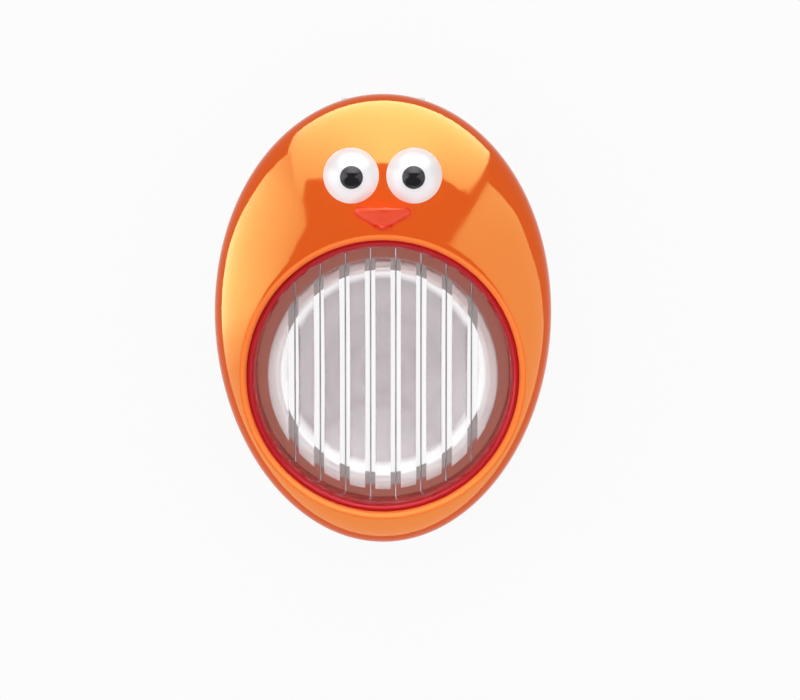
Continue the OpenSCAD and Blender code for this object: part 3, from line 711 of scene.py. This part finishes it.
def on_lid(name, x, y, surface, peg=None):
    """Button on the lid: surface(turn) gives a ray's points from the middle to the edge."""
    count, rays = 128, []
    for t in turns(count):
        out = surface(t)
        edge = out[-1][0]
        back = [edge * (1 - i / 10) for i in range(10 if peg else 11)]
        ends = [(r, dome_height(x + r * math.cos(t), y + r * math.sin(t)) + FACE_GAP)
                for r in back if peg is None or r > peg * 1.05]
        rays.append(out + ends)
    shortest = min(len(ray) for ray in rays)
    rings = [[(x + rays[j][i][0] * math.cos(t), y + rays[j][i][0] * math.sin(t), rays[j][i][1])
              for j, t in enumerate(turns(count))] for i in range(shortest)]
    if peg:
        rings += lathe_rings(staked_peg(x, y, peg, FACE_GAP)[1:], (x, y), count)
    return skin(name, rings)


def edge_angle(x, y, turn, ball_z):
    """Angle down from the eye's top at which its ball meets the lid on one ray."""
    low, high = 0.2, math.pi / 2
    for _ in range(40):
        middle = (low + high) / 2
        r, z = EYE_BALL * math.sin(middle), ball_z + EYE_BALL * math.cos(middle)
        above = z > dome_height(x + r * math.cos(turn), y + r * math.sin(turn)) + FACE_GAP
        low, high = (middle, high) if above else (low, middle)
    return low


eye_plastic = glossy_plastic("white_eye_plastic", (0.90, 0.90, 0.91), 0.30, drift=0.01,
                             warm=(0.42, 0.39, 0.48))
ball_z = dome_height(EYE_X, EYE_Y) + EYE_BULGE - EYE_BALL
for side, word in ((-1, "left"), (1, "right")):
    def eye_ray(turn):
        """Points over the eye's ball, from its top down to the lid."""
        limit = edge_angle(side * EYE_X, EYE_Y, turn, ball_z)
        return [(EYE_BALL * math.sin(limit * i / 32), ball_z + EYE_BALL * math.cos(limit * i / 32))
                for i in range(33)]

    eye = on_lid(f"white_eye_{word}", side * EYE_X, EYE_Y, eye_ray, EYE_PEG)
    fit(eye, "lid", "white_plastic", eye_plastic, f"eye_{word}")

# --- Pupils ---------------------------------------------------------------------------
# Each pupil is a thin disc of black plastic with a rounded rim. It is domed like the eye,
# and stuck on its top.
DISC, DISC_RIM, UNDERSIDE = 3.3 * mm, 0.2 * mm, EYE_BALL + 0.05 * mm
DISC_TOP, DISC_FLAT = UNDERSIDE + 0.5 * mm, DISC - DISC_RIM
rim_z = math.sqrt(DISC_TOP ** 2 - DISC_FLAT ** 2)
disc_profile = (
    [(DISC_FLAT * i / 12, math.sqrt(DISC_TOP ** 2 - (DISC_FLAT * i / 12) ** 2)) for i in range(13)]
    + [(DISC - DISC_RIM * (1 - math.sin(a)), rim_z - DISC_RIM * (1 - math.cos(a)))
       for a in (0.4, 0.8, 1.2, math.pi / 2)]
    + [(DISC * (1 - i / 6), math.sqrt(UNDERSIDE ** 2 - (DISC * (1 - i / 6)) ** 2)) for i in range(7)])
pupil_plastic = glossy_plastic("black_pupil_plastic", (0.006, 0.006, 0.007), 0.05, drift=0.2,
                               warm=(0.3, 0.28, 0.3))
for side, word in ((-1, "left"), (1, "right")):
    pupil = skin(f"black_pupil_{word}", lathe_rings([(r, ball_z + z) for r, z in disc_profile],
                                                    (side * EYE_X, EYE_Y), 96))
    fit(pupil, "lid", "black_plastic", pupil_plastic, f"pupil_{word}")

# --- Beak -----------------------------------------------------------------------------
# The beak is a small orange-red button with a soft ridge that runs down to a blunt tip. Two
# pegs hold it, melted over under the lid as the eyes' are.
BEAK_ROOT, BEAK_TIP, BEAK_HALF, BEAK_HEIGHT = 33.107 * mm, 26.107 * mm, 8.4 * mm, 4.2 * mm
BEAK_ROUND, RIDGE, BEAK_EDGE = 1.6 * mm, 0.9 * mm, 0.15 * mm
beak_z = dome_height(0, BEAK_ROOT)
cheek_x, root_y, tip_y = BEAK_HALF - BEAK_ROUND, BEAK_ROOT - BEAK_ROUND, BEAK_TIP + BEAK_ROUND
beak_corners = [(-cheek_x, root_y), (cheek_x, root_y), (0.0, tip_y)]
ridge_z, tip_z = BEAK_HEIGHT - BEAK_ROUND, BEAK_HEIGHT / 2 - BEAK_ROUND
beak_middle_y = root_y - 1 * mm


def outside_triangle(x, y):
    """Distance of a point from the triangle of the beak's corners, 0 inside it."""
    inside, nearest = True, 1.0
    for (ax, ay), (bx, by) in zip(beak_corners, beak_corners[1:] + beak_corners[:1]):
        ex, ey = bx - ax, by - ay
        along = max(0.0, min(1.0, ((x - ax) * ex + (y - ay) * ey) / (ex * ex + ey * ey)))
        nearest = min(nearest, math.hypot(x - ax - along * ex, y - ay - along * ey))
        if ex * (y - ay) - ey * (x - ax) > 0:
            inside = False
    return 0.0 if inside else nearest


def beak_height(x, y):
    """Top of the beak: two flat cheeks that meet in a soft ridge, with rounded sides."""
    down = (root_y - y) / (root_y - tip_y)
    level = ridge_z + (tip_z - ridge_z) * down
    if down < 1:
        level -= ridge_z / cheek_x * (math.hypot(x, RIDGE) - RIDGE / 2)
    away = outside_triangle(x, y)
    return beak_z + level + math.sqrt(max(0.0, BEAK_ROUND ** 2 - away ** 2))


def beak_ray(turn):
    """Points over the beak, from its middle to where it thins out on the lid."""
    def there(r):
        x, y = r * math.cos(turn), beak_middle_y + r * math.sin(turn)
        return x, y, beak_height(x, y), dome_height(x, y) + FACE_GAP

    low, high = 0.0, 12 * mm
    for _ in range(40):
        middle = (low + high) / 2
        x, y, top, floor_z = there(middle)
        good = outside_triangle(x, y) < BEAK_ROUND * 0.999 and top > floor_z + BEAK_EDGE
        low, high = (middle, high) if good else (low, middle)
    reach = [low * math.sin(math.pi / 2 * i / 30) for i in range(31)]
    return [(r, there(r)[2]) for r in reach]


beak = on_lid("orange_red_beak", 0.0, beak_middle_y, beak_ray)
for x in (-BEAK_PEG_X, BEAK_PEG_X):
    peg = staked_peg(x, BEAK_PEG_Y, BEAK_PEG, 1.2 * mm)
    carve(beak, dropped(peg, x, BEAK_PEG_Y), "UNION")
beak_plastic = glossy_plastic("orange_red_plastic", (0.80, 0.040, 0.014), 0.14,
                              warm=(0.7, 0.28, 0.12))
fit(beak, "lid", "beak_plastic", beak_plastic, "beak")

# --- Studio ---------------------------------------------------------------------------
# A plain white floor, soft white lamps, white panels that the gloss reflects, and a camera
# almost straight above the lid.
target = Vector((0.0, 0.0, 20 * mm))


def sky_point(azimuth, fall, distance=1.1):
    """Point of the studio at an angle round from +X and an angle down from the vertical."""
    a, f = math.radians(azimuth), math.radians(fall)
    return target + distance * Vector((math.cos(a) * math.sin(f), math.sin(a) * math.sin(f),
                                       math.cos(f)))


cloth, flow = new_finish("lit_cloth")
glow = flow.add("ShaderNodeAttribute", {"attribute_name": "glow"}, output="Fac")
flow.add("ShaderNodeOutputMaterial", {}, {"Surface": flow.add("ShaderNodeEmission", {}, {
    "Color": (1, 1, 1, 1), "Strength": glow})})


def reflector(name, *ribs, rows=14):
    """Curved panel that only shows in reflections. Each rib gives the azimuth and fall where it
    starts, those where it ends, and the strengths of its light there."""
    mesh = bmesh.new()
    layer = mesh.verts.layers.float.new("glow")
    grid = []
    for i in range(rows + 1):
        share = i / rows
        grid.append([])
        for a0, f0, a1, f1, g0, g1 in ribs:
            vert = mesh.verts.new(sky_point(a0 + (a1 - a0) * share, f0 + (f1 - f0) * share))
            vert[layer] = g0 + (g1 - g0) * share ** 0.7
            grid[-1].append(vert)
    for near, far in zip(grid, grid[1:]):
        for i in range(len(near) - 1):
            mesh.faces.new((near[i], near[i + 1], far[i + 1], far[i]))
    panel = new_piece(name, mesh)
    panel.visible_camera = panel.visible_diffuse = panel.visible_shadow = False
    panel.visible_transmission = False
    panel.data.materials.append(cloth)


reflector("panel_top", (143, 21, 129, 89, 6, 8), (136, 26, 125, 89, 6.5, 12),
          (126, 19, 115, 89, 7, 15.5), (110, 18, 105, 89, 10, 17),
          (90, 17.5, 90, 89, 12.5, 17.5), (70, 18, 75, 89, 11.5, 17.5),
          (55, 20, 60, 89, 8, 17.5), (43, 22, 50, 89, 6.5, 16), (38.5, 25, 42, 89, 6, 13))
reflector("panel_left", (134, 56, 138, 60, 5.5, 6), (140, 30, 143, 64, 5, 8),
          (145, 19, 147, 68, 5, 10.5), (152, 15, 152, 71, 4.8, 12.5), (165, 16, 161, 82, 5.2, 15),
          (171, 17, 168, 89, 5.5, 16.5),
          (177, 18, 176, 89, 6, 17), (184, 23, 184, 89, 7, 15), (190, 25, 190, 89, 5.5, 9),
          (196, 26, 196, 89, 4.8, 5.4), (204, 29, 204, 89, 4.8, 5))
reflector("panel_front", (204, 29, 204, 89, 4.8, 5), (215, 31, 215, 89, 4.8, 5),
          (230, 31, 230, 89, 4.6, 4.8), (250, 29, 250, 89, 4.6, 4.8), (270, 27, 270, 89, 4.6, 4.8),
          (290, 29, 290, 89, 4.6, 4.8), (310, 31, 310, 89, 4.6, 4.8), (322, 31, 322, 89, 4.6, 4.8),
          (331, 31, 330, 89, 4.6, 4.8))
reflector("panel_right", (36, 42, 33, 44, 5.6, 6), (32, 21.5, 28, 50, 5.2, 6.5), (27, 13, 22, 58, 5, 6),
          (18, 8.7, 12, 64, 4.8, 5.3), (5, 14, 4, 76, 4.7, 5.2), (-8, 22, -7, 89, 4.7, 5),
          (-20, 27, -20, 89, 4.7, 4.9), (-29, 31, -30, 89, 4.6, 4.8))

for name, azimuth, fall, size, strength in (
        ("softbox_left", 180, 48, 0.9, 1.1), ("softbox_right", 0, 48, 0.9, 0.9),
        ("softbox_back", 90, 45, 0.9, 1.0), ("softbox_front", -90, 45, 0.8, 0.8)):
    lamp = bpy.data.lights.new(name, "AREA")
    lamp.shape, lamp.size = "SQUARE", size
    lamp.energy = strength * math.pi * size * size
    holder = bpy.data.objects.new(name, lamp)
    holder.location = sky_point(azimuth, fall)
    holder.rotation_euler = (target - holder.location).to_track_quat("-Z", "Y").to_euler()
    holder.visible_glossy = holder.visible_camera = False
    bpy.context.scene.collection.objects.link(holder)

floor_mesh = bmesh.new()
bmesh.ops.create_grid(floor_mesh, x_segments=1, y_segments=1, size=6)
floor = new_piece("pale_floor", floor_mesh)
floor_material, flow = new_finish("pale_floor")


def seen(flow, *kinds):
    """1 for rays of these kinds, such as Camera, else 0."""
    path = flow.add("ShaderNodeLightPath").socket.node.outputs
    total = 0.0
    for kind in kinds:
        total = Flow(flow.tree, path[f"Is {kind} Ray"]) + total
    return flow.maths("MINIMUM", total, 1.0)


matte = flow.add("ShaderNodeBsdfDiffuse", {}, {"Color": (0.82, 0.82, 0.82, 1)})
lit = flow.add("ShaderNodeEmission", {}, {"Color": (1, 1, 1, 1), "Strength": 1.0})
mixed = flow.add("ShaderNodeMixShader", {}, {
    0: seen(flow, "Camera", "Glossy", "Transmission") * 0.9, 1: matte, 2: lit})
flow.add("ShaderNodeOutputMaterial", {}, {"Surface": mixed})
floor.data.materials.append(floor_material)

world = bpy.data.worlds.new("studio")
world.use_nodes = True
world.node_tree.nodes.clear()
air = Flow(world.node_tree)
air.add("ShaderNodeOutputWorld", {}, {"Surface": air.add("ShaderNodeBackground", {}, {
    "Color": (1, 1, 1, 1), "Strength": seen(air, "Camera", "Glossy", "Transmission") * 0.55 + 0.45})})
bpy.context.scene.world = world

camera_data = bpy.data.cameras.new("camera")
camera_data.sensor_width, camera_data.lens = 36, 106.9
camera = bpy.data.objects.new("camera", camera_data)
tilt, away = math.radians(4.5), 700 * mm
aim = Vector((5.0 * mm, -9.1 * mm, 20 * mm))
camera.location = aim + away * Vector((0, math.sin(tilt), math.cos(tilt)))
camera.rotation_euler = (-tilt, 0, 0)
bpy.context.scene.collection.objects.link(camera)
bpy.context.scene.camera = camera
bpy.context.scene.view_settings.view_transform = "Standard"

bpy.context.view_layer.update()
